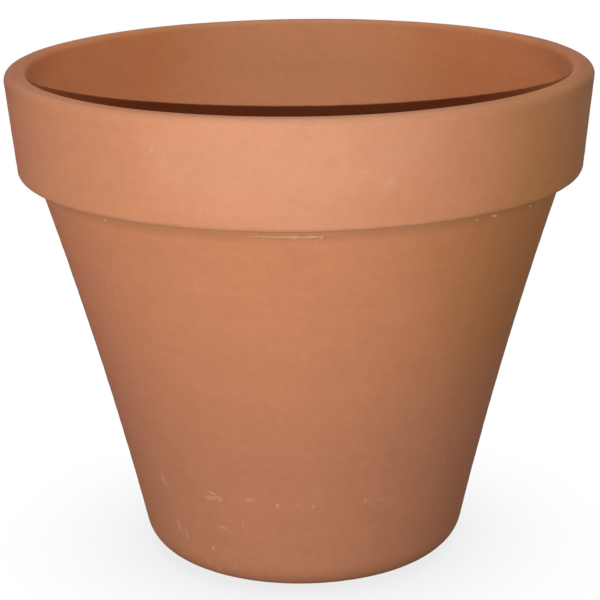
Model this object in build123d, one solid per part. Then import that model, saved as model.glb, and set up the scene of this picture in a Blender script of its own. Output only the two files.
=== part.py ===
"""Banded clay flower pot with one drainage hole.

The pot is one piece of fired, unglazed clay: floor, tapering wall and the thick band round the rim are
the same lump, turned on a wheel, so its whole shape is one outline turned about the Z axis.
The origin is the centre of the foot, +Z is up, and every size is in millimetres.
"""

import os
from math import hypot

from build123d import *

# Outside, from the rim down to the foot
RIM_DIAMETER = 311.0  # at the sharp corner; over the rounded lip the pot measures 310
HEIGHT = 266.5
BAND_HEIGHT = 55.4
BAND_TAPER = 5.5  # how much the band's radius shrinks from rim to lower edge
BAND_OVERHANG = 9.6  # how far the band's lower edge stands out from the wall
FOOT_DIAMETER = 170.0  # where the wall's line would meet the ground, before the heel is rounded
WALL_HOLLOW = 2.5  # how far the wall bows in from a straight taper, half way up

# Inside
LIP_WIDTH = 11.5  # measured level, from sharp corner to sharp corner
WALL_THICKNESS = 10.0  # measured level, where the wall meets the floor
INNER_HOLLOW = 2.5  # how far the inner wall bows in from a straight taper, half way up
FLOOR_THICKNESS = 14.0
FLOOR_FALL = 1.5  # how far the floor drops towards the hole, so that water runs out

# Underside and drainage hole
RECESS_DIAMETER = 100.0
RECESS_DEPTH = 2.5
HOLE_DIAMETER = 26.0

# Roundings
LIP_OUTER_ROUND = 4.5
LIP_INNER_ROUND = 4.0
BAND_EDGE_ROUND = 3.6
BAND_CREASE_ROUND = 3.8  # a soft cove, as a wheel-turned band is left by the finger
HEEL_ROUND = 18.0
FLOOR_ROUND = 22.0
RECESS_ROUND = 2.0
HOLE_ROUND = 1.5

# Worked out from the sizes above
RIM_RADIUS = RIM_DIAMETER / 2
BAND_LOW_Z = HEIGHT - BAND_HEIGHT
BAND_LOW_RADIUS = RIM_RADIUS - BAND_TAPER
WALL_TOP_RADIUS = BAND_LOW_RADIUS - BAND_OVERHANG
FOOT_RADIUS = FOOT_DIAMETER / 2
LIP_INNER_RADIUS = RIM_RADIUS - LIP_WIDTH
RECESS_RADIUS = RECESS_DIAMETER / 2
HOLE_RADIUS = HOLE_DIAMETER / 2


def outer_radius(z):
    """Radius of the straight taper from the foot to the band's crease, at height z."""
    return FOOT_RADIUS + (WALL_TOP_RADIUS - FOOT_RADIUS) * z / BAND_LOW_Z


FLOOR_EDGE = (outer_radius(FLOOR_THICKNESS) - WALL_THICKNESS, FLOOR_THICKNESS)
FLOOR_HOLE = (HOLE_RADIUS, FLOOR_THICKNESS - FLOOR_FALL)

# Corners of the outline as (radius, height), going round it from the hole's lower edge
HOLE_LOW = (HOLE_RADIUS, RECESS_DEPTH)
RECESS_TOP = (RECESS_RADIUS - RECESS_DEPTH, RECESS_DEPTH)
RECESS_RIM = (RECESS_RADIUS, 0)
HEEL = (FOOT_RADIUS, 0)
CREASE = (WALL_TOP_RADIUS, BAND_LOW_Z)
BAND_EDGE = (BAND_LOW_RADIUS, BAND_LOW_Z)
LIP_OUTER = (RIM_RADIUS, HEIGHT)
LIP_INNER = (LIP_INNER_RADIUS, HEIGHT)

ROUNDINGS = [
    (HOLE_LOW, HOLE_ROUND),
    (RECESS_TOP, RECESS_ROUND),
    (HEEL, HEEL_ROUND),
    (CREASE, BAND_CREASE_ROUND),
    (BAND_EDGE, BAND_EDGE_ROUND),
    (LIP_OUTER, LIP_OUTER_ROUND),
    (LIP_INNER, LIP_INNER_ROUND),
    (FLOOR_EDGE, FLOOR_ROUND),
    (FLOOR_HOLE, HOLE_ROUND),
]


def bowed_in(low, high, hollow):
    """An arc from low to high that bows towards the axis by hollow at its middle."""
    run, rise = high[0] - low[0], high[1] - low[1]
    length = hypot(run, rise)
    middle = (
        (low[0] + high[0]) / 2 - hollow * rise / length,
        (low[1] + high[1]) / 2 + hollow * run / length,
    )
    return ThreePointArc(low, middle, high)


def half_section():
    """The pot's section on one side of the axis, as a face in the XZ plane, with its corners rounded."""
    with BuildSketch(Plane.XZ) as section:
        with BuildLine():
            Polyline(FLOOR_HOLE, HOLE_LOW, RECESS_TOP, RECESS_RIM, HEEL)
            bowed_in(HEEL, CREASE, WALL_HOLLOW)
            Polyline(CREASE, BAND_EDGE, LIP_OUTER, LIP_INNER)
            bowed_in(FLOOR_EDGE, LIP_INNER, INNER_HOLLOW)
            Line(FLOOR_EDGE, FLOOR_HOLE)
        make_face()
        for corner, rounding in ROUNDINGS:
            nearest = section.vertices().sort_by_distance(corner)[0]
            fillet(nearest, rounding)
    return section.sketch


def clay_pot():
    """The whole pot: its half section turned once about the Z axis."""
    return revolve(half_section(), Axis.Z, 360)


def main():
    """Writes each piece of the object to parts/, named as a person would name it."""
    os.makedirs("parts", exist_ok=True)
    pot = clay_pot()
    export_step(pot, "parts/clay_pot.step")
    litres = pot.volume / 1e6
    print("clay volume, litres:", round(litres, 3))
    print("size, mm:", pot.bounding_box().size)


main()
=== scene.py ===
"""The looks of a banded clay flower pot, in the plain studio that it stands in.

The pot is one piece of fired, unglazed clay, turned about Z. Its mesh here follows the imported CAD
outline and adds what a maker's hands and a season outdoors leave: faint turning ridges, a rim that is
not quite round, a rough drainage hole, slip dried in the crease under the band, scuffs near the foot.
Sizes are in metres. An azimuth is in degrees round the pot from its front, which faces -Y, and grows
towards +X.
"""

import logging
from contextlib import contextmanager
from dataclasses import dataclass, field
from enum import Enum
from math import atan2, ceil, copysign, cos, degrees, pi, radians, sin, tau
from typing import Any, Iterator

import bpy
from mathutils import Matrix, Vector


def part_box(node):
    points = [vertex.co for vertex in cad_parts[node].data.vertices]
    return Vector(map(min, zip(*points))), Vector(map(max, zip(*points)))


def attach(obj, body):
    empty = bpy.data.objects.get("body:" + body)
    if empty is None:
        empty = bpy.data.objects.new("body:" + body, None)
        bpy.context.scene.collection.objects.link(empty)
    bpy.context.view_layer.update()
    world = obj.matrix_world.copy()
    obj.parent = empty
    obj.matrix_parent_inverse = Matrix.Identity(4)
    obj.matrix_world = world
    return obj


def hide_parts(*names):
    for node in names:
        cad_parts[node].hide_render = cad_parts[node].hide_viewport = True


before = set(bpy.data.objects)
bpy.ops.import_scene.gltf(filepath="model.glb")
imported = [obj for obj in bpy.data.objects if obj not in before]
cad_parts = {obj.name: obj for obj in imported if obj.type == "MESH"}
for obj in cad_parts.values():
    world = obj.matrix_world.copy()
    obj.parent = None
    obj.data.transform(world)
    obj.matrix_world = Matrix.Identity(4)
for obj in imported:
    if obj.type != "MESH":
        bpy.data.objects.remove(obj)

log = logging.getLogger("clay_pot_looks")

MM = 0.001
POT_NODE = "clay_pot"
BODY = "root"
SCUFF_DEPTH = 8 * MM  # less than the wall's thickness, so that a scuff stays off the other side
CORNER_CUT = 0.5 * MM  # how far the lip's roundings keep the rim inside its sharp corner
MIDDLE_RADIUS = 80 * MM  # the middle of the clay's thickness, where its line meets the ground
MIDDLE_LEAN = 0.2505  # how much that radius grows with the height
LAMPS_FACE = 0.6  # the lamps are turned to this share of the pot's height
WIDE_RIDGES, NARROW_RIDGES = 0.0127, 0.0071  # how far apart the two kinds of turning ridge are
RIDGES_DRIFT = 0.061  # how far along the wall they drift nearer and further once

Colour = tuple[float, float, float]
Names = tuple[str, ...]
Socket = bpy.types.NodeSocket


def on_pot(azimuth: float, radius: float, height: float) -> Vector:
    """The point at that azimuth in degrees, distance from the axis and height."""
    turn = radians(azimuth)
    return Vector((radius * sin(turn), -radius * cos(turn), height))


# The outline


@dataclass(frozen=True)
class Run:
    """A stretch of the pot's outline between two sharp corners.

    Its points are (radius, height), and the clay lies to the left of the way that it goes.

    Attributes:
        start: The corner where it starts.
        end: The corner where it ends.
        round_off: The radius that rounds that corner.
        bow: How far its middle stands to the left of a straight line.
        ridge: How deep the maker's turning ridges cut into the clay.
        spacing: The distance between the rings of the mesh along it.
    """

    start: Vector
    end: Vector
    round_off: float
    bow: float = 0.0
    ridge: float = 0.0
    spacing: float = 2 * MM

    def side(self, point: Vector) -> tuple[float, Vector]:
        """How far a point lies to the left of the run.

        Args:
            point: Any point of the section, as (radius, height).

        Returns:
            The distance, and the direction of left there.
        """
        chord = self.end - self.start
        left = chord.orthogonal().normalized()
        if not self.bow:
            return (point - self.start).dot(left), left
        radius = (chord.length_squared / 4 + self.bow**2) / (2 * self.bow)
        centre = (self.start + self.end) / 2 + left * (self.bow - radius)
        out = point - centre
        turn = copysign(1, self.bow)
        return turn * (out.length - abs(radius)), turn * out.normalized()

    def points(self, first: Vector, last: Vector) -> list[Vector]:
        """The run's points between two places on it, with its turning ridges.

        Args:
            first: Where the rounding before it ends.
            last: Where the rounding after it starts.

        Returns:
            The points, without the first and the last.
        """
        length = (last - first).length
        steps = max(1, ceil(length / self.spacing))
        found = []
        for step in range(1, steps):
            share = step / steps
            point = first.lerp(last, share)
            gap, left = self.side(point)
            fade = min(1.0, 8 * share, 8 * (1 - share))
            found.append(point + left * (self.ridge * fade * turning_wave(share * length) - gap))
        return found


def turning_wave(distance: float) -> float:
    """The maker's ridges, from 0 to 1, at a distance along the wall."""
    drift = 1.4 * sin(tau * distance / RIDGES_DRIFT)
    wide = sin(tau * distance / WIDE_RIDGES + drift)
    narrow = sin(tau * distance / NARROW_RIDGES - 1.7 * drift)
    return 0.5 + 0.3 * wide + 0.2 * narrow


def rounding(before: Run, after: Run) -> tuple[Vector, Vector, Vector]:
    """The arc that rounds the corner between two runs.

    Args:
        before: The run that ends at the corner.
        after: The run that starts there.

    Returns:
        The arc's centre, and the points where it leaves the one run and meets the other.
    """
    way_in, way_out = before.end - before.start, after.end - after.start
    reach = copysign(before.round_off, way_in.x * way_out.y - way_in.y * way_out.x)
    centre = before.end.copy()
    for _ in range(12):
        gap_in, left_in = before.side(centre)
        gap_out, left_out = after.side(centre)
        missing = Vector((reach - gap_in, reach - gap_out))
        centre += Matrix((left_in, left_out)).inverted() @ missing
    return centre, centre - left_in * reach, centre - left_out * reach


def arc(centre: Vector, first: Vector, last: Vector, step: float) -> list[Vector]:
    """Points along an arc, both ends included.

    Args:
        centre: The arc's centre.
        first: Where it starts.
        last: Where it ends, less than half a turn on.
        step: The most that two points lie apart, in degrees.

    Returns:
        The points.
    """
    spoke, final = first - centre, last - centre
    sweep = atan2(spoke.x * final.y - spoke.y * final.x, spoke.dot(final))
    count = max(2, ceil(abs(degrees(sweep)) / step))
    angles = [sweep * i / count for i in range(count + 1)]
    return [
        centre + Vector((spoke.x * cos(a) - spoke.y * sin(a), spoke.x * sin(a) + spoke.y * cos(a)))
        for a in angles
    ]


# Shader nodes


class Sheet:
    """Lays nodes on one node tree and joins them.

    Attributes:
        tree: The node tree.
        place: The output that gives the place on the piece.
    """

    def __init__(self, tree: bpy.types.NodeTree) -> None:
        """Starts on an empty tree."""
        self.tree = tree
        self.place: Any = None
        tree.nodes.clear()

    def add(self, kind: str, feeds: dict[Any, Any] | None = None, **settings: Any) -> bpy.types.Node:
        """Adds a node.

        Args:
            kind: Blender's name for it.
            feeds: A value or another node's output for each input, by the input's name or place.
            settings: The node's own settings.

        Returns:
            The node.
        """
        node = self.tree.nodes.new(kind)
        for name, value in settings.items():
            setattr(node, name, value)
        for name, value in (feeds or {}).items():
            self.feed(node.inputs[name], value)
        return node

    def feed(self, target: Socket, value: Any) -> None:
        """Joins an output to an input, or sets the input to a number, vector or colour."""
        if isinstance(value, bpy.types.NodeSocket):
            self.tree.links.new(value, target)
        elif target.type == "RGBA" and len(value) == 3:
            target.default_value = (*value, 1.0)
        else:
            target.default_value = value

    def sum(self, operation: str, first: Any, second: Any = 0.0, third: Any = 0.0) -> Socket:
        """One arithmetic step, such as ADD or SUBTRACT."""
        feeds = {0: first, 1: second, 2: third}
        return self.add("ShaderNodeMath", feeds, operation=operation).outputs[0]

    def times(self, first: Any, second: Any, plus: Any = None) -> Socket:
        """One number multiplied by another, plus a third where it is given."""
        if plus is None:
            return self.sum("MULTIPLY", first, second)
        return self.sum("MULTIPLY_ADD", first, second, plus)

    def squares(self, first: Any, second: Any) -> Socket:
        """The squares of two numbers, added up."""
        return self.times(first, first, self.times(second, second))

    def vector(self, operation: str, feeds: dict[Any, Any]) -> Any:
        """The outputs of one step of vector arithmetic, such as SUBTRACT or LENGTH."""
        return self.add("ShaderNodeVectorMath", feeds, operation=operation).outputs

    def ease(self, value: Any, low: float, high: float, start: float = 0.0, end: float = 1.0) -> Socket:
        """A smooth step of value from low to high, put out as start to end."""
        feeds = {"Value": value, "From Min": low, "From Max": high, "To Min": start, "To Max": end}
        node = self.add("ShaderNodeMapRange", feeds, interpolation_type="SMOOTHSTEP")
        return node.outputs["Result"]

    def blend(self, share: Any, under: Any, over: Any, mode: str = "MIX") -> Socket:
        """One colour laid over another by a share from 0 to 1."""
        feeds = {"Factor": share, 6: under, 7: over}
        return self.add("ShaderNodeMix", feeds, data_type="RGBA", blend_type=mode).outputs[2]

    def toned(self, colour: Any, tone: Socket) -> Socket:
        """A colour made darker or lighter, multiplied by a number."""
        shade = self.add("ShaderNodeCombineColor", {0: tone, 1: tone, 2: tone}).outputs[0]
        return self.blend(1.0, colour, shade, "MULTIPLY")

    def noise(self, size: float, detail: float = 2.0, rough: float = 0.5, place: Any = None) -> Any:
        """The outputs of soft noise from 0 to 1, whose blotches are about size across."""
        where = self.place if place is None else place
        feeds = {"Vector": where, "Scale": 0.5 / size, "Detail": detail, "Roughness": rough}
        return self.add("ShaderNodeTexNoise", feeds).outputs

    def group(self, name: str, **feeds: Any) -> Any:
        """Puts a node group on the place, by its name, and gives its outputs."""
        tree = bpy.data.node_groups[name]
        return self.add("ShaderNodeGroup", {"Place": self.place, **feeds}, node_tree=tree).outputs

    def clay(self, finish: Any, colour: Socket, roughness: Socket, bump: Socket) -> None:
        """Ends the material of a clay with its shader.

        Args:
            finish: The clay's finish.
            colour: Its colour.
            roughness: Its roughness.
            bump: The height of its grain.
        """
        heights = {"Strength": 1.0, "Distance": finish.bump_depth, "Height": bump}
        feeds = {
            "Base Color": colour,
            "Roughness": roughness,
            "Diffuse Roughness": finish.dusty,
            "Normal": self.add("ShaderNodeBump", heights).outputs["Normal"],
            "Specular IOR Level": finish.specular,
        }
        shader = self.add("ShaderNodeBsdfPrincipled", feeds).outputs["BSDF"]
        self.add("ShaderNodeOutputMaterial", {"Surface": shader})


def new_material(name: str) -> tuple[bpy.types.Material, Sheet]:
    """Starts a material.

    Args:
        name: Its name.

    Returns:
        The material, and the sheet to lay its nodes on.
    """
    material = bpy.data.materials.new(name)
    material.use_nodes = True
    sheet = Sheet(material.node_tree)
    sheet.place = sheet.add("ShaderNodeTexCoord").outputs["Object"]
    return material, sheet


def node_group(name: str, gives: Names, places: Names = (), numbers: Names = ()) -> tuple[Sheet, Any, Any]:
    """Starts a node group, whose first input is the place on the piece.

    Args:
        name: Its name.
        gives: The outputs, which are all numbers.
        places: The other inputs that are places or directions.
        numbers: The inputs that are numbers.

    Returns:
        The sheet to lay its nodes on, the inputs to read from and the outputs to feed.
    """
    tree = bpy.data.node_groups.new(name, "ShaderNodeTree")
    sheet = Sheet(tree)
    sockets = [(label, "INPUT", "NodeSocketVector") for label in ("Place", *places)]
    sockets += [(label, "INPUT", "NodeSocketFloat") for label in numbers]
    sockets += [(label, "OUTPUT", "NodeSocketFloat") for label in gives]
    for label, way, kind in sockets:
        tree.interface.new_socket(name=label, in_out=way, socket_type=kind)
    takes = sheet.add("NodeGroupInput").outputs
    sheet.place = takes["Place"]
    return sheet, takes, sheet.add("NodeGroupOutput").inputs


def pot_place_group() -> None:
    """Turns a place into its distance from the pot's axis and its height."""
    sheet, _, gives = node_group("pot_place", ("Radius", "Height"))
    axes = sheet.add("ShaderNodeSeparateXYZ", {0: sheet.place}).outputs
    sheet.feed(gives["Radius"], sheet.sum("SQRT", sheet.squares(axes[0], axes[1])))
    sheet.feed(gives["Height"], axes[2])


def clay_grain_group() -> None:
    """The grain of fired clay: a fine mottle, pale grog, dark pores and the height of all three."""
    sheet, _, gives = node_group("clay_grain", ("Mottle", "Grog", "Pores", "Height"))
    fine = sheet.noise(0.5 * MM, 3.0, 0.6)["Fac"]
    middle = sheet.noise(2.2 * MM)["Fac"]
    broad = sheet.noise(9 * MM)["Fac"]
    mottle = sheet.times(middle, 0.4, sheet.times(fine, 0.3))
    sheet.feed(gives["Mottle"], sheet.times(broad, 0.3, mottle))
    grog = grains(sheet, cell=2.4 * MM, reach=0.17, share=0.3)
    pores = grains(sheet, cell=3.1 * MM, reach=0.12, share=0.35)
    sheet.feed(gives["Grog"], grog)
    sheet.feed(gives["Pores"], pores)
    height = sheet.times(grog, 0.3, sheet.times(fine, 0.35, sheet.times(middle, 0.35)))
    sheet.feed(gives["Height"], sheet.times(pores, -0.6, height))


def grains(sheet: Sheet, cell: float, reach: float, share: float) -> Socket:
    """Small round grains, one in some of the cells of a random pattern.

    Args:
        sheet: The sheet to lay the nodes on.
        cell: The cells' size.
        reach: A grain's radius, as a share of a cell.
        share: How many of the cells hold one, from 0 to 1.

    Returns:
        A mask that is 1 in the middle of each grain.
    """
    cells = sheet.add("ShaderNodeTexVoronoi", {"Vector": sheet.place, "Scale": 1 / cell})
    size = sheet.add("ShaderNodeSeparateColor", {0: cells.outputs["Color"]}).outputs
    spot = sheet.ease(cells.outputs["Distance"], reach, reach * 0.5)
    chosen = sheet.ease(size[0], 1 - share, 1.0)
    return sheet.times(spot, chosen)


def turning_marks_group() -> None:
    """Level streaks that a maker's hands and rib leave as the pot turns."""
    sheet, _, gives = node_group("turning_marks", ("Streak",))
    streaks = []
    for along, across in ((60 * MM, 1.5 * MM), (150 * MM, 5 * MM)):
        stretch = {"Vector": sheet.place, "Scale": (1 / along, 1 / along, 1 / across)}
        level = sheet.add("ShaderNodeMapping", stretch, vector_type="POINT").outputs[0]
        streaks.append(sheet.noise(1.0, 1.0, place=level)["Fac"])
    fine, broad = streaks
    sheet.feed(gives["Streak"], sheet.times(fine, 0.5, sheet.times(broad, 0.5)))


def soft_patch_group() -> None:
    """A soft-edged patch round a place on the pot, for the colour that a kiln leaves and for painted light
    and shade.
    """
    sheet, takes, gives = node_group("soft_patch", ("Mask",), ("Middle",), ("Reach", "Tall"))
    reach = takes["Reach"]
    away = sheet.vector("SUBTRACT", {0: sheet.place, 1: takes["Middle"]})[0]
    axes = sheet.add("ShaderNodeSeparateXYZ", {0: away}).outputs
    level = sheet.squares(axes[0], axes[1])
    level = sheet.sum("DIVIDE", level, sheet.times(reach, reach))
    upright = sheet.sum("DIVIDE", axes[2], takes["Tall"])
    span = sheet.times(upright, upright, level)
    wander = sheet.noise(28 * MM, 3.0, 0.55)["Fac"]
    span = sheet.sum("ADD", span, sheet.times(wander, 0.9, -0.45))
    sheet.feed(gives["Mask"], sheet.ease(span, 1.0, 0.0))


def ring_line_group() -> None:
    """A line all the way round the pot, broken up by noise: a worn edge, or grime and painted shade in a
    crease.
    """
    numbers = ("Radius", "Height", "Reach", "Broken")
    sheet, takes, gives = node_group("ring_line", ("Mask",), numbers=numbers)
    spot = sheet.group("pot_place")
    across = sheet.sum("SUBTRACT", spot["Radius"], takes["Radius"])
    upright = sheet.sum("SUBTRACT", spot["Height"], takes["Height"])
    gap = sheet.sum("SQRT", sheet.squares(across, upright))
    gap = sheet.sum("DIVIDE", gap, takes["Reach"])
    coarse = sheet.noise(11 * MM, rough=0.6)["Fac"]
    fine = sheet.noise(1.6 * MM, rough=0.6)["Fac"]
    rough = sheet.times(fine, 0.8, sheet.times(coarse, 1.6, -1.2))
    gap = sheet.times(rough, takes["Broken"], gap)
    sheet.feed(gives["Mask"], sheet.ease(gap, 1.0, 0.0))


def scuff_group() -> None:
    """One pale scrape at a place on the outside: a short tapered stroke, a little broken."""
    ways = ("Along", "Across", "Through")
    sheet, takes, gives = node_group("scuff", ("Mask",), ("Middle", *ways), ("Curl",))
    wander = sheet.noise(1.5 * MM)["Color"]
    shift = sheet.vector("SUBTRACT", {0: wander, 1: (0.5, 0.5, 0.5)})[0]
    shift = sheet.vector("SCALE", {0: shift, "Scale": 1.4 * MM})[0]
    away = sheet.vector("SUBTRACT", {0: sheet.place, 1: takes["Middle"]})[0]
    away = sheet.vector("ADD", {0: away, 1: shift})[0]
    along, across, through = (
        sheet.vector("DOT_PRODUCT", {0: away, 1: takes[way]})["Value"] for way in ways
    )
    bend = sheet.times(sheet.times(along, along), takes["Curl"])
    span = sheet.squares(along, sheet.sum("SUBTRACT", across, bend))
    span = sheet.times(through, through, span)
    grit = sheet.noise(0.8 * MM, rough=0.6)["Fac"]
    span = sheet.sum("ADD", span, sheet.times(grit, 1.0, -0.5))
    sheet.feed(gives["Mask"], sheet.ease(span, 1.1, 0.0))


# Finishes


class Stroke(Enum):
    """What a scuff left on the clay."""

    LIME = "lime"
    RAW = "raw"


@dataclass(frozen=True)
class Scuff:
    """A scrape on the outside, placed one by one.

    Attributes:
        azimuth: Degrees round from the front.
        height: Height above the ground.
        length: The stroke's whole length.
        width: Its whole width.
        tilt: Degrees that it leans from level, up towards the right.
        curl: How strongly it curves.
        strength: How much of the clay's colour it covers, from 0 to 1.
        stroke: What it left.
    """

    azimuth: float
    height: float
    length: float
    width: float
    tilt: float = 0.0
    curl: float = 0.0
    strength: float = 0.5
    stroke: Stroke = Stroke.LIME

    def mask(self, sheet: Sheet, radius: float) -> Socket:
        """Places the scuff on a sheet.

        Args:
            sheet: The material's sheet.
            radius: The outside's distance from the axis at the scuff's height.

        Returns:
            Its mask.
        """
        turn, lean = radians(self.azimuth), radians(self.tilt)
        right, up = Vector((cos(turn), sin(turn), 0)), Vector((0, 0, 1))
        along = (right * cos(lean) + up * sin(lean)) * (2 / self.length)
        across = (up * cos(lean) - right * sin(lean)) * (2 / self.width)
        mask = sheet.group(
            "scuff",
            Middle=on_pot(self.azimuth, radius, self.height),
            Along=along,
            Across=across,
            Through=right.cross(up) / SCUFF_DEPTH,
            Curl=self.curl,
        )["Mask"]
        return sheet.times(mask, self.strength)


@dataclass(frozen=True)
class FlushAndPaintedLight:
    """A soft patch that tints the clay, used both for the colour that a kiln leaves and for painted
    highlights, lamplight and shade.

    Attributes:
        azimuth: Degrees round from the front.
        height: The height of its middle.
        reach: How far it spreads to each side.
        tall: How far it spreads up and down.
        tint: What the clay's colour is multiplied by in its middle.
        radius: The distance of its middle from the axis.
    """

    azimuth: float
    height: float
    reach: float
    tall: float
    tint: Colour
    radius: float = 0.13

    def lay(self, sheet: Sheet, colour: Socket) -> Socket:
        """Multiplies the patch over a colour."""
        middle = on_pot(self.azimuth, self.radius, self.height)
        mask = sheet.group("soft_patch", Middle=middle, Reach=self.reach, Tall=self.tall)["Mask"]
        return sheet.blend(mask, colour, self.tint, "MULTIPLY")


@dataclass(frozen=True)
class RingLine:
    """A worn line round the pot, or the crease's line of grime and painted shade.

    Attributes:
        radius: The line's distance from the axis.
        height: Its height.
        reach: How wide it is to each side.
        broken: How much noise breaks it up, from 0 to 1.
        strength: How much it covers, from 0 to 1.
        colour: What it is covered with.
    """

    radius: float
    height: float
    reach: float
    broken: float
    strength: float
    colour: Colour

    def lay(self, sheet: Sheet, colour: Socket) -> Socket:
        """Lays the line over a colour."""
        mask = sheet.group(
            "ring_line",
            Radius=self.radius,
            Height=self.height,
            Reach=self.reach,
            Broken=self.broken,
        )["Mask"]
        return sheet.blend(sheet.times(mask, self.strength), colour, self.colour)


@dataclass(frozen=True)
class FiredClay:
    """Unglazed red clay, fired matte, with its grain, turning marks, kiln colouring, scuffs and worn
    edges, and painted highlights and shade.

    Attributes:
        band: The colour of the band, a little paler and less red than the wall's: painted highlight for
            the stronger light on it.
        wall: The colour of the wall's upper part.
        foot: The colour near the foot.
        inside: The colour of the inner wall.
        floor: The colour of the floor inside.
        under: The colour of the underside.
        lime: The pale colour of mineral scuffs.
        raw: The colour of clay that is scraped bare.
        grog: The colour of pale grains in the clay.
        pore: The colour of open pores.
        foot_top: The height up to which the foot's colour holds.
        wall_low: The height from which the wall's does.
        roughness: The surface's roughness.
        specular: How much it shines.
        dusty: How flat its light is across a curve, from 0, smooth, to 1, like chalk.
        bump_depth: The depth of the grain.
    """

    band: Colour = (0.543, 0.228, 0.117)
    wall: Colour = (0.524, 0.210, 0.102)
    foot: Colour = (0.466, 0.190, 0.101)
    inside: Colour = (0.535, 0.198, 0.082)
    floor: Colour = (0.500, 0.205, 0.100)
    under: Colour = (0.520, 0.250, 0.140)
    lime: Colour = (0.66, 0.47, 0.32)
    raw: Colour = (0.64, 0.35, 0.21)
    grog: Colour = (0.62, 0.40, 0.25)
    pore: Colour = (0.28, 0.100, 0.050)
    foot_top: float = 60 * MM
    wall_low: float = 180 * MM
    roughness: float = 0.85
    specular: float = 0.08
    dusty: float = 0.12
    bump_depth: float = 0.12 * MM

    def material(self, pot: "TurnedPot") -> bpy.types.Material:
        """Makes the clay's material.

        Args:
            pot: The pot that wears it.

        Returns:
            The material.
        """
        material, sheet = new_material("fired_clay")
        spot = sheet.group("pot_place")
        height, low = spot["Height"], pot.band_low
        colour = sheet.blend(sheet.ease(height, self.foot_top, self.wall_low), self.foot, self.wall)
        # The band's colour is a little paler than the wall's: painted highlight.
        colour = sheet.blend(sheet.ease(height, low - 6 * MM, low + 4 * MM), colour, self.band)
        under = sheet.times(sheet.ease(height, 3.5 * MM, 0.0), 0.7)
        colour = sheet.blend(under, colour, self.under)
        for tint_patch in pot.flushes_and_painted_light():
            colour = tint_patch.lay(sheet, colour)
        deep = sheet.blend(sheet.ease(height, 20 * MM, pot.height * 0.4), self.floor, self.inside)
        for tint_patch in pot.inner_tint_and_lip_shade():
            deep = tint_patch.lay(sheet, deep)
        colour = sheet.blend(self.inner_share(sheet, spot), colour, deep)
        colour, grain, streak = self.worked(sheet, colour)
        for line in pot.worn_lines_and_crease_shade():
            colour = line.lay(sheet, colour)
        colour, scraped = self.scraped(sheet, colour, pot)
        bump = sheet.times(scraped, 0.5, sheet.times(streak, 0.5, grain["Height"]))
        roughness = sheet.times(grain["Mottle"], 0.12, self.roughness - 0.06)
        sheet.clay(self, colour, roughness, bump)
        return material

    def inner_share(self, sheet: Sheet, spot: Any) -> Socket:
        """A mask of the inner wall and floor: what lies inside the middle of the clay's thickness."""
        middle = sheet.times(spot["Height"], MIDDLE_LEAN, MIDDLE_RADIUS)
        depth = sheet.sum("SUBTRACT", middle, spot["Radius"])
        near = sheet.ease(depth, -1.5 * MM, 1.5 * MM)
        return sheet.times(near, sheet.ease(spot["Height"], 8 * MM, 11 * MM))

    def worked(self, sheet: Sheet, colour: Socket) -> tuple[Socket, Any, Socket]:
        """Adds grain, grog, pores and turning streaks to a colour.

        Args:
            sheet: The material's sheet.
            colour: The clay's colour so far.

        Returns:
            The colour, the grain's outputs and the streaks.
        """
        grain = sheet.group("clay_grain")
        streak = sheet.group("turning_marks")["Streak"]
        tone = sheet.times(streak, 0.10, sheet.times(grain["Mottle"], 0.34, 0.78))
        colour = sheet.toned(colour, tone)
        colour = sheet.blend(sheet.times(grain["Grog"], 0.35), colour, self.grog)
        colour = sheet.blend(sheet.times(grain["Pores"], 0.45), colour, self.pore)
        return colour, grain, streak

    def scraped(self, sheet: Sheet, colour: Socket, pot: "TurnedPot") -> tuple[Socket, Socket]:
        """Adds the placed scuffs to a colour.

        Args:
            sheet: The material's sheet.
            colour: The clay's colour so far.
            pot: The pot that the scuffs are on.

        Returns:
            The colour, and one mask of all the scuffs for the bump.
        """
        total: Any = 0.0
        for scuff in pot.scuffs():
            mask = scuff.mask(sheet, pot.outer_radius(scuff.height))
            left = self.lime if scuff.stroke is Stroke.LIME else self.raw
            colour = sheet.blend(mask, colour, left)
            total = sheet.sum("MAXIMUM", mask, total)
        return colour, total


@dataclass(frozen=True)
class DriedSlip:
    """Thin clay slip that dried pale and crumbly.

    Attributes:
        pale: Its colour where it is thick.
        stained: Its colour where the red clay shows through.
        roughness: Its roughness.
        specular: How much it shines.
        dusty: How flat its light is across a curve, from 0, smooth, to 1, like chalk.
        bump_depth: The depth of the grain.
    """

    pale: Colour = (0.53, 0.30, 0.165)
    stained: Colour = (0.50, 0.24, 0.12)
    roughness: float = 0.95
    specular: float = 0.1
    dusty: float = 0.0
    bump_depth: float = 0.15 * MM

    def material(self) -> bpy.types.Material:
        """Makes the slip's material."""
        material, sheet = new_material("dried_slip")
        grain = sheet.group("clay_grain")
        blotch = sheet.ease(sheet.noise(2.5 * MM, 3.0, 0.6)["Fac"], 0.35, 0.65)
        colour = sheet.blend(blotch, self.stained, self.pale)
        colour = sheet.toned(colour, sheet.times(grain["Mottle"], 0.4, 0.8))
        roughness = sheet.times(blotch, 0.05, self.roughness - 0.05)
        sheet.clay(self, colour, roughness, grain["Height"])
        return material


# Pieces


def deselect() -> None:
    """Leaves object mode with nothing selected."""
    if bpy.context.object and bpy.context.object.mode != "OBJECT":
        bpy.ops.object.mode_set(mode="OBJECT")
    bpy.ops.object.select_all(action="DESELECT")


def pick(piece: bpy.types.Object) -> None:
    """Selects one piece alone and makes it the active one."""
    deselect()
    piece.select_set(True)
    bpy.context.view_layer.objects.active = piece


@contextmanager
def edit_mode() -> Iterator[None]:
    """Edit mode with all of the active piece selected, and object mode again at the end."""
    bpy.ops.object.mode_set(mode="EDIT")
    bpy.ops.mesh.select_all(action="SELECT")
    yield
    bpy.ops.object.mode_set(mode="OBJECT")


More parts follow.
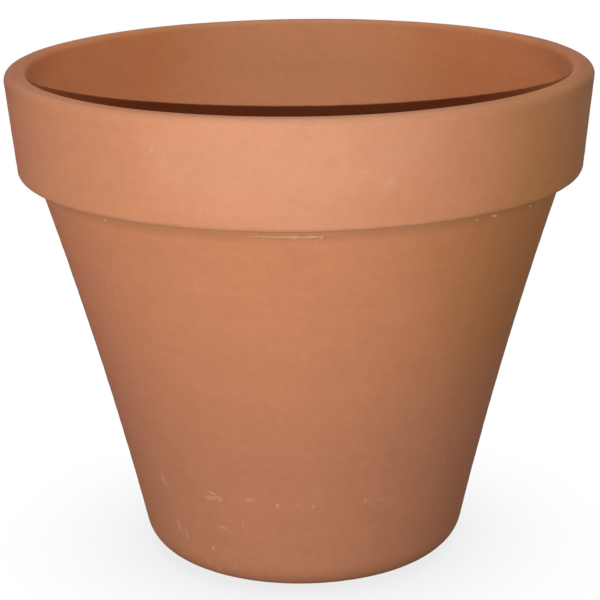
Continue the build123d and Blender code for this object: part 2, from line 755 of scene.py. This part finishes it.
def spin_all(steps: int, angle: float, merge: float) -> None:
    """Spins all of the mesh in edit mode round the pot's axis, and merges points closer than merge."""
    bpy.ops.mesh.select_all(action="SELECT")
    bpy.ops.mesh.spin(steps=steps, angle=angle, center=(0, 0, 0), axis=(0, 0, 1))
    bpy.ops.mesh.select_all(action="SELECT")
    bpy.ops.mesh.remove_doubles(threshold=merge)


def apply_displace(
    piece: bpy.types.Object,
    name: str,
    size: float,
    depth: float,
    level: float = 1.0,
    group: str = "",
) -> None:
    """Roughens a piece along its normals with cloudy noise and applies it.

    Args:
        piece: The piece.
        name: The modifier's name.
        size: How far apart the bumps are.
        depth: How far the noise moves a point.
        level: The noise that leaves a point where it is: at 1, points only move inwards.
        group: The vertex group to keep to, if any.
    """
    texture = bpy.data.textures.new(name, type="CLOUDS")
    texture.noise_scale = size
    texture.noise_depth = 2
    modifier = piece.modifiers.new(name, "DISPLACE")
    modifier.texture = texture
    modifier.texture_coords = "LOCAL"
    modifier.strength = depth
    modifier.mid_level = level
    modifier.vertex_group = group
    bpy.context.view_layer.objects.active = piece
    bpy.ops.object.modifier_apply(modifier=name)


def hand_over(piece: bpy.types.Object, material: bpy.types.Material) -> None:
    """Gives a finished piece its material, and lets it ride on the pot's body."""
    piece.data.materials.clear()
    piece.data.materials.append(material)
    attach(piece, BODY)
    faces = len(piece.data.polygons)
    log.info("%s: %d vertices, %d faces", piece.name, len(piece.data.vertices), faces)


@dataclass
class TurnedPot:
    """The pot itself: one lump of clay, turned about its axis.

    Attributes:
        rim_radius: The radius at the rim's sharp outer corner.
        height: The whole height.
        band_height: The height of the band.
        band_taper: How much the band's radius shrinks down to its lower edge.
        band_overhang: How far the band stands out from the wall.
        foot_radius: Where the wall's line meets the ground.
        wall_hollow: How far the wall bows in.
        lip_width: The level width of the lip.
        wall_thickness: The wall's thickness where it meets the floor.
        inner_hollow: How far the inner wall bows in.
        floor_thickness: The floor's thickness.
        floor_fall: How far the floor drops towards the hole.
        recess_radius: The radius of the recess under the floor.
        recess_depth: Its depth.
        hole_radius: The drainage hole's radius.
        hole_round: The rounding of the hole's edges.
        recess_round: That of the recess's upper corner.
        recess_rim_round: That of the recess's lower corner.
        heel_round: That of the heel.
        crease_round: That of the cove under the band.
        band_edge_round: That of the band's lower edge.
        lip_outer_round: That of the lip's outer edge.
        lip_inner_round: That of its inner edge.
        floor_round: That of the cove round the floor.
        segments: How many faces the mesh has round the pot.
        ridge: How deep the turning ridges are.
        clay: Its finish.
    """

    rim_radius: float
    height: float
    band_height: float = 55.4 * MM
    band_taper: float = 5.5 * MM
    band_overhang: float = 9.6 * MM
    foot_radius: float = 85 * MM
    wall_hollow: float = 2.5 * MM
    lip_width: float = 11.5 * MM
    wall_thickness: float = 10 * MM
    inner_hollow: float = 2.5 * MM
    floor_thickness: float = 14 * MM
    floor_fall: float = 1.5 * MM
    recess_radius: float = 50 * MM
    recess_depth: float = 2.5 * MM
    hole_radius: float = 13 * MM
    hole_round: float = 1.5 * MM
    recess_round: float = 2 * MM
    recess_rim_round: float = 0.4 * MM
    heel_round: float = 18 * MM
    crease_round: float = 3.8 * MM
    band_edge_round: float = 3.6 * MM
    lip_outer_round: float = 4.5 * MM
    lip_inner_round: float = 4 * MM
    floor_round: float = 22 * MM
    segments: int = 240
    ridge: float = 0.12 * MM
    clay: FiredClay = field(default_factory=FiredClay)

    @property
    def band_low(self) -> float:
        """The height of the band's lower edge."""
        return self.height - self.band_height

    @property
    def band_low_radius(self) -> float:
        """The radius of the band's lower edge."""
        return self.rim_radius - self.band_taper

    @property
    def wall_top_radius(self) -> float:
        """The radius where the wall meets the band's underside."""
        return self.band_low_radius - self.band_overhang

    def runs(self) -> list[Run]:
        """The outline's runs, from the hole's upper edge round to it again."""
        slope = (self.wall_top_radius - self.foot_radius) / self.band_low
        floor_edge = self.foot_radius + slope * self.floor_thickness - self.wall_thickness
        corners = [
            (self.hole_radius, self.floor_thickness - self.floor_fall),
            (self.hole_radius, self.recess_depth),
            (self.recess_radius - self.recess_depth, self.recess_depth),
            (self.recess_radius, 0.0),
            (self.foot_radius, 0.0),
            (self.wall_top_radius, self.band_low),
            (self.band_low_radius, self.band_low),
            (self.rim_radius, self.height),
            (self.rim_radius - self.lip_width, self.height),
            (floor_edge, self.floor_thickness),
        ]
        ends = [Vector(corner) for corner in (*corners, corners[0])]
        hole, underside, chamfer, foot, wall, step, band, lip, inner, floor = zip(ends, ends[1:])
        inner_ridge = self.ridge * 1.6
        return [
            Run(*hole, self.hole_round, spacing=1.2 * MM),
            Run(*underside, self.recess_round, ridge=0.25 * MM, spacing=1.5 * MM),
            Run(*chamfer, self.recess_rim_round, spacing=1 * MM),
            Run(*foot, self.heel_round, spacing=2.5 * MM),
            Run(*wall, self.crease_round, self.wall_hollow, self.ridge),
            Run(*step, self.band_edge_round, spacing=1 * MM),
            Run(*band, self.lip_outer_round, ridge=self.ridge * 0.8),
            Run(*lip, self.lip_inner_round, spacing=1 * MM),
            Run(*inner, self.floor_round, -self.inner_hollow, inner_ridge, 2.3 * MM),
            Run(*floor, self.hole_round, ridge=0.3 * MM),
        ]

    def outline(self) -> list[Vector]:
        """The whole closed outline, as (radius, height)."""
        runs = self.runs()
        arcs = [rounding(run, after) for run, after in zip(runs, runs[1:] + runs[:1])]
        points = []
        for i, run in enumerate(runs):
            points += run.points(arcs[i - 1][2], arcs[i][1])
            points += arc(*arcs[i], step=7.5)
        return points

    def turn(self) -> bpy.types.Object:
        """Draws the outline point by point and spins it into the pot."""
        points = self.outline()
        deselect()
        bpy.ops.mesh.primitive_plane_add(size=MM, location=(0, 0, 0))
        pot = bpy.context.object
        pot.name = pot.data.name = "turned_pot"
        with edit_mode():
            bpy.ops.mesh.merge(type="CENTER")
            bpy.ops.transform.translate(value=(points[0].x, 0, points[0].y))
            for last, point in zip(points, points[1:] + points[:1]):
                move = (point.x - last.x, 0, point.y - last.y)
                bpy.ops.mesh.extrude_vertices_move(TRANSFORM_OT_translate={"value": move})
            spin_all(self.segments, tau, 0.01 * MM)
            bpy.ops.mesh.normals_make_consistent(inside=False)
        log.info("outline: %d rings of %d", len(points), self.segments)
        return pot

    def roughen(self, pot: bpy.types.Object) -> None:
        """Takes the pot a little out of true, and leaves its hole and underside rough."""
        low = pot.vertex_groups.new(name="rough_low")
        hole = pot.vertex_groups.new(name="hole_edge")
        for vertex in pot.data.vertices:
            radius, height = vertex.co.xy.length, vertex.co.z
            if radius < self.recess_radius and height < 5 * MM:
                low.add([vertex.index], 1.0, "REPLACE")
            near = 1 - (radius - self.hole_radius) / (5 * MM)
            if near > 0:
                hole.add([vertex.index], min(1.0, near), "REPLACE")
        apply_displace(pot, "out_of_true", 90 * MM, 0.5 * MM, 0.8)
        apply_displace(pot, "hand_marks", 14 * MM, 0.12 * MM)
        apply_displace(pot, "raw_underside", 5 * MM, 0.5 * MM, 1.0, "rough_low")
        apply_displace(pot, "torn_hole", 3 * MM, 1.6 * MM, 1.0, "hole_edge")
        pick(pot)
        bpy.ops.object.shade_smooth_by_angle(angle=radians(50))

    def worn_lines_and_crease_shade(self) -> list[RingLine]:
        """The pot's worn edges, and the dark line in its crease, partly grime and partly painted shade
        under the band.
        """
        crease_dirt_and_shade, rubbed = (0.33, 0.145, 0.065), (0.62, 0.36, 0.22)
        crease = self.wall_top_radius - 1 * MM
        return [
            # Grime in the crease under the band, widened with painted shade where the band's overhang
            # keeps light off.
            RingLine(crease, self.band_low - 3 * MM, 6.5 * MM, 0.25, 0.52, crease_dirt_and_shade),
            RingLine(self.rim_radius - 1.5 * MM, self.height - 1.5 * MM, 4 * MM, 0.5, 0.12, rubbed),
            RingLine(self.rim_radius - 10 * MM, self.height - 1 * MM, 3 * MM, 0.6, 0.10, rubbed),
            RingLine(self.band_low_radius, self.band_low + 0.5 * MM, 3 * MM, 0.7, 0.25, rubbed),
            RingLine(self.foot_radius - 14 * MM, 0.5 * MM, 5 * MM, 0.7, 0.5, rubbed),
        ]

    def inner_tint_and_lip_shade(self) -> list[FlushAndPaintedLight]:
        """A paler, less red patch on the back of the inner wall, and the lip's painted shade."""
        return [FlushAndPaintedLight(180, 0.21, 0.10, 0.13, (1.06, 1.27, 1.46)), *self.lip_painted_shade()]

    def lip_painted_shade(self) -> list[FlushAndPaintedLight]:
        """Painted shade: darker stretches of the lip, to the left and right."""
        return [
            FlushAndPaintedLight(-90, 0.2665, 0.08, 0.017, (0.84, 0.80, 0.85), 0.15),
            FlushAndPaintedLight(90, 0.2665, 0.08, 0.017, (0.84, 0.82, 0.86), 0.15),
        ]

    def flushes_and_painted_light(self) -> list[FlushAndPaintedLight]:
        """Patches on the outside: painted highlight, lamplight and shade at the front and sides, the
        kiln's colouring round the back, and the lip's painted shade.
        """
        return [
            # Painted highlight: the front of the band paler and less red, where the lamp by the lens
            # shines on it.
            FlushAndPaintedLight(-3, 0.245, 0.085, 0.05, (1.07, 1.17, 1.28), 0.15),
            # Painted lamplight: a pinker tint at the left, where the left panel's light falls.
            FlushAndPaintedLight(-78, 0.15, 0.09, 0.14, (1.02, 0.98, 1.07)),
            # Painted shade: darker and browner at the right, where the light falls off.
            FlushAndPaintedLight(64, 0.20, 0.10, 0.14, (0.88, 0.88, 0.68)),
            # The kiln's colouring round the back.
            FlushAndPaintedLight(150, 0.10, 0.08, 0.07, (0.93, 0.90, 0.88)),
            FlushAndPaintedLight(-140, 0.19, 0.07, 0.08, (1.05, 1.07, 1.10)),
            *self.lip_painted_shade(),
        ]

    def scuffs(self) -> list[Scuff]:
        """Scrapes seen on the front, low down, and a few more round the back."""
        raw = Stroke.RAW
        # Azimuth, then height, length and width in mm, then tilt, curl, strength and any stroke
        table: list[tuple[Any, ...]] = [
            (-49.4, 56.0, 9, 2.6, -65, 0.35, 0.30),
            (-29.3, 56.8, 6, 2.2, -20, 0.1, 0.36),
            (-29.9, 53.6, 10, 3.0, 14, 0.1, 0.24),
            (-26.7, 54.1, 5, 3.2, -30, 0.0, 0.22),
            (-16.9, 55.9, 5, 2.6, 5, 0.0, 0.22),
            (-8.2, 53.7, 1.7, 3.6, 5, 0.0, 0.38),
            (-1.6, 54.0, 5, 2.2, 3, 0.0, 0.20, raw),
            (2.9, 53.2, 1.7, 3.4, 0, 0.0, 0.42, raw),
            (18.9, 54.1, 1.6, 3.0, -14, 0.0, 0.32),
            (24.2, 53.4, 5, 2.4, 0, 0.0, 0.24, raw),
            (47.2, 65.0, 2.4, 2.4, 0, 0.0, 0.24),
            (-46.6, 29.0, 3.4, 12, 14, 0.3, 0.20),
            (-43.6, 26.2, 3.0, 10, -8, -0.3, 0.16),
            (-27.1, 36.1, 6, 3.2, -8, 0.0, 0.34, raw),
            (-20.0, 40.0, 2.0, 5, -25, 0.0, 0.16),
            (-32.4, 21.8, 2.2, 3.0, 10, 0.0, 0.40),
            (-35.5, 11.0, 2.6, 9, 24, 0.0, 0.26, raw),
            (-32.0, 8.5, 2.4, 6, 14, 0.0, 0.34, raw),
            (-25.0, 12.1, 2.6, 3.4, 0, 0.0, 0.26, raw),
            (-26.9, 249.2, 2.6, 3.0, 0, 0.0, 0.26),
            (15.9, 234.2, 10, 6, 60, 0.0, 0.16),
            (104.0, 52.0, 7, 2.0, -18, 0.1, 0.38),
            (131.0, 81.0, 14, 1.8, 31, 0.2, 0.30),
            (171.0, 54.0, 6, 2.2, 12, 0.0, 0.38),
            (-118.0, 51.0, 1.8, 5, 8, 0.0, 0.38),
            (-154.0, 238.0, 10, 2.0, -14, 0.1, 0.30, raw),
        ]
        return [
            Scuff(azimuth, height * MM, length * MM, width * MM, *rest)
            for azimuth, height, length, width, *rest in table
        ]

    def outer_radius(self, height: float) -> float:
        """The outside's distance from the axis at a height."""
        wall, band = self.runs()[4:7:2]
        side = band if height > self.band_low else wall
        point = side.start.lerp(side.end, (height - side.start.y) / (side.end.y - side.start.y))
        gap, left = side.side(point)
        return (point - left * gap).x

    def build(self) -> None:
        """Turns, roughens and dresses the pot."""
        pot = self.turn()
        self.roughen(pot)
        hand_over(pot, self.clay.material(self))
        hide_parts(POT_NODE)


@dataclass
class Residue:
    """Slip that ran into the crease under the band and dried there: a thin bead and some crumbs.

    Attributes:
        pot: The pot that it dried on.
        drop: How far below the band's lower edge the bead lies.
        first: The azimuth where the bead starts.
        last: The azimuth where it ends.
        thickness: Its thickness.
        steps: How many steps it is spun in.
        slip: The finish of the bead and the crumbs.
    """

    pot: TurnedPot
    drop: float = 4.1 * MM
    first: float = -10.8
    last: float = 4.6
    thickness: float = 1.25 * MM
    steps: int = 72
    slip: DriedSlip = field(default_factory=DriedSlip)

    def bead(self, material: bpy.types.Material) -> None:
        """Spins a small ring section along the crease and lets it run thin at both ends."""
        height = self.pot.band_low - self.drop
        radius = self.pot.outer_radius(height)
        deselect()
        bpy.ops.mesh.primitive_circle_add(
            vertices=12,
            radius=self.thickness / 2,
            location=on_pot(self.first, radius, height),
            rotation=(radians(90), 0, radians(self.first + 90)),
        )
        bead = bpy.context.object
        bead.name = bead.data.name = "slip_bead"
        bpy.ops.object.transform_apply(location=True, rotation=True, scale=True)
        with edit_mode():
            spin_all(self.steps, radians(self.first - self.last), 0.001 * MM)
        for end in (self.first, self.last):
            self.close_end(bead, on_pot(end, radius - self.thickness * 0.2, height))
        with edit_mode():
            bpy.ops.mesh.normals_make_consistent(inside=False)
        apply_displace(bead, "runny", 4 * MM, 1.3 * MM, 0.52)
        apply_displace(bead, "crumbly", 0.9 * MM, 0.5 * MM, 0.5)
        bpy.ops.object.shade_smooth()
        hand_over(bead, material)

    def close_end(self, bead: bpy.types.Object, place: Vector) -> None:
        """Draws the ring of vertices at one end of the bead together at a place."""
        pick(bead)
        reach = self.thickness * 0.75
        for vertex in bead.data.vertices:
            vertex.select = (vertex.co - place).length < reach
        for part in (*bead.data.edges, *bead.data.polygons):
            part.select = all(bead.data.vertices[v].select for v in part.vertices)
        bpy.ops.object.mode_set(mode="EDIT")
        bpy.ops.mesh.merge(type="CENTER")
        bpy.ops.object.mode_set(mode="OBJECT")

    def crumbs(self, material: bpy.types.Material) -> None:
        """Lumps of dried slip in the crease, as one piece."""
        # Azimuth, then the drop below the band, the length and the thickness in mm
        places = [
            (-43.4, 4.4, 2.0, 1.2),
            (4.1, 4.4, 2.4, 1.3),
            (3.0, 6.6, 1.3, 1.0),
            (43.0, 4.2, 4.2, 1.4),
            (38.0, 4.5, 1.6, 0.9),
            (55.9, 5.4, 1.7, 1.2),
            (-22.0, 5.5, 1.0, 0.7),
            (97.0, 4.8, 2.4, 1.2),
            (-128.0, 5.0, 3.0, 1.3),
            (163.0, 4.9, 1.8, 1.1),
        ]
        lumps = []
        for azimuth, drop, length, thick in places:
            height = self.pot.band_low - drop * MM
            deselect()
            bpy.ops.mesh.primitive_ico_sphere_add(
                subdivisions=4,
                radius=MM / 2,
                location=on_pot(azimuth, self.pot.outer_radius(height), height),
                rotation=(0, 0, radians(azimuth)),
                scale=(length, thick, thick),
            )
            bpy.ops.object.transform_apply(location=True, rotation=True, scale=True)
            lumps.append(bpy.context.object)
        pick(lumps[0])
        for lump in lumps:
            lump.select_set(True)
        bpy.ops.object.join()
        crumbs = bpy.context.object
        crumbs.name = crumbs.data.name = "slip_crumbs"
        bpy.context.scene.cursor.location = (0, 0, 0)
        bpy.ops.object.origin_set(type="ORIGIN_CURSOR")
        apply_displace(crumbs, "lumpy", 1.4 * MM, 0.9 * MM, 0.5)
        bpy.ops.object.shade_smooth()
        hand_over(crumbs, material)

    def build(self) -> None:
        """Makes the bead and the crumbs."""
        material = self.slip.material()
        self.bead(material)
        self.crumbs(material)


# Studio


@dataclass(frozen=True)
class Viewpoint:
    """The camera, at the photograph's viewing angle.

    Attributes:
        place: Where it stands.
        pitch: Degrees that it looks down.
        yaw: Degrees that it looks to the right.
        roll: Degrees that it leans to the left.
        lens: Its focal length in millimetres, on a 36 mm wide frame.
    """

    place: tuple[float, float, float] = (0.0, -1.0691, 0.4504)
    pitch: float = 16.430
    yaw: float = -0.051
    roll: float = -0.694
    lens: float = 122.38

    def build(self) -> None:
        """Makes the scene's camera."""
        data = bpy.data.cameras.new("front_camera")
        data.lens = self.lens
        data.sensor_width = 36
        data.clip_start, data.clip_end = 0.05, 50
        camera = bpy.data.objects.new("front_camera", data)
        bpy.context.scene.collection.objects.link(camera)
        level = Matrix.Rotation(radians(90 - self.pitch), 4, "X")
        turned = Matrix.Rotation(radians(-self.yaw), 4, "Z") @ level
        leaned = turned @ Matrix.Rotation(radians(self.roll), 4, "Z")
        camera.matrix_world = Matrix.Translation(self.place) @ leaned
        bpy.context.scene.camera = camera


class LampKind(Enum):
    """How a lamp throws its light."""

    SMALL = "POINT"
    PANEL = "AREA"


@dataclass(frozen=True)
class Lamp:
    """One lamp of the studio.

    Attributes:
        name: Its name.
        kind: How it throws its light.
        place: Where it stands.
        level: How bright a white surface looks that faces it at the pot.
        width: Its width.
        tall: Its height, for a panel.
        colour: Its colour.
    """

    name: str
    kind: LampKind
    place: tuple[float, float, float]
    level: float
    width: float
    tall: float = 0.0
    colour: Colour = (1.0, 1.0, 1.0)

    def build(self, target: Vector) -> None:
        """Makes the lamp and turns it to a point.

        Args:
            target: The point that it faces.
        """
        data = bpy.data.lights.new(self.name, self.kind.value)
        away = target - Vector(self.place)
        spread = pi**2 if self.kind is LampKind.PANEL else 4 * pi**2
        data.energy = self.level * spread * away.length_squared
        data.color = self.colour
        if self.kind is LampKind.PANEL:
            data.shape, data.size, data.size_y = "RECTANGLE", self.width, self.tall
        else:
            data.shadow_soft_size = self.width / 2
        lamp = bpy.data.objects.new(self.name, data)
        turned = away.to_track_quat("-Z", "Y").to_matrix().to_4x4()
        lamp.matrix_world = Matrix.Translation(self.place) @ turned
        bpy.context.scene.collection.objects.link(lamp)


@dataclass(frozen=True)
class Studio:
    """The plain pale floor, the white surround and the lamps.

    Attributes:
        middle: The point that the lamps face.
        floor_size: The floor's width.
        floor_tone: How much light the floor throws back on the pot.
        shadow_reach: How far the soft shadow round the foot spreads.
        shadow_tone: How dark it is where the pot meets the floor.
        covered_tone: How dark the painted shadow is on the floor under the pot's foot.
        covered_radius: How far out it is that dark.
        open_radius: How far out it is pale again.
        surround: The light that comes from all round.
    """

    middle: Vector
    floor_size: float = 14.0
    floor_tone: float = 0.12
    shadow_reach: float = 0.12
    shadow_tone: float = 0.82
    covered_tone: float = 0.12
    covered_radius: float = 66 * MM
    open_radius: float = 72 * MM
    surround: float = 0.08

    def seen(self, sheet: Sheet) -> Socket:
        """1 for rays that come from the camera, a reflection or through glass."""
        rays = sheet.add("ShaderNodeLightPath").outputs
        mirrored = sheet.sum("MAXIMUM", rays["Is Glossy Ray"], rays["Is Transmission Ray"])
        return sheet.sum("MAXIMUM", rays["Is Camera Ray"], mirrored)

    def floor(self) -> None:
        """Lays the floor: white to the eye, with the pot's soft shadow on it."""
        deselect()
        bpy.ops.mesh.primitive_plane_add(size=self.floor_size, location=(0, 0, 0))
        floor = bpy.context.object
        floor.name = floor.data.name = "floor"
        material, sheet = new_material("pale_floor")
        open_sky = sheet.add(
            "ShaderNodeAmbientOcclusion", {"Distance": self.shadow_reach}, samples=16
        ).outputs["AO"]
        # The white emission is darkened near the pot and under its foot: a painted shadow.
        tone = sheet.ease(open_sky, 0.25, 0.95, self.shadow_tone, 1.0)
        out = sheet.vector("LENGTH", {0: sheet.place})["Value"]
        covered = sheet.ease(out, self.covered_radius, self.open_radius, self.covered_tone, 1.0)
        white = sheet.add("ShaderNodeEmission", {"Strength": sheet.times(tone, covered)}).outputs[0]
        paper = sheet.add("ShaderNodeBsdfDiffuse", {"Color": (self.floor_tone,) * 3}).outputs[0]
        mixed = sheet.add("ShaderNodeMixShader", {0: self.seen(sheet), 1: paper, 2: white}).outputs[0]
        sheet.add("ShaderNodeOutputMaterial", {"Surface": mixed})
        floor.data.materials.append(material)

    def world(self) -> None:
        """Makes the surround: white to the eye, and only a little light on the pot."""
        world = bpy.data.worlds.new("surround")
        world.use_nodes = True
        sheet = Sheet(world.node_tree)
        strength = sheet.ease(self.seen(sheet), 0.0, 1.0, self.surround, 1.0)
        white = sheet.add("ShaderNodeBackground", {"Color": (1.0, 1.0, 1.0), "Strength": strength})
        sheet.add("ShaderNodeOutputWorld", {"Surface": white.outputs[0]})
        bpy.context.scene.world = world

    def lamps(self) -> list[Lamp]:
        """A small lamp by the lens, and soft panels to the left, above, behind and at the back right."""
        small, panel = LampKind.SMALL, LampKind.PANEL
        return [
            Lamp("lamp_by_lens", small, (-0.006, -1.069, 0.4285), 0.75, 4 * MM),
            Lamp("panel_left", panel, (-1.0, -0.84, 0.22), 0.26, 0.55, 0.4, (1.0, 0.96, 1.0)),
            Lamp("panel_above", panel, (0.0, 0.75, 1.5), 0.5, 0.6, 0.6),
            Lamp("panel_behind", panel, (0.0, 1.3, 0.19), 0.55, 0.8, 0.3),
            Lamp("panel_right", panel, (0.9, 1.1, 0.19), 0.16, 0.6, 0.3),
        ]

    def build(self) -> None:
        """Makes the floor, the surround and the lamps."""
        self.floor()
        self.world()
        for lamp in self.lamps():
            lamp.build(self.middle)
        settings = bpy.context.scene.view_settings
        settings.view_transform = "Standard"


def main() -> None:
    """Builds the pot, its residue, the studio and the camera, and keeps both boxes' sizes."""
    logging.basicConfig(level=logging.INFO, format="%(name)s: %(message)s")
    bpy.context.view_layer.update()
    pot_place_group()
    clay_grain_group()
    turning_marks_group()
    soft_patch_group()
    ring_line_group()
    scuff_group()
    low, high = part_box(POT_NODE)
    pot = TurnedPot(rim_radius=(high.x - low.x) / 2 + CORNER_CUT, height=high.z)
    pot.build()
    Residue(pot).build()
    Studio(middle=Vector((0, 0, high.z * LAMPS_FACE))).build()
    Viewpoint().build()


if __name__ == "__main__":
    main()
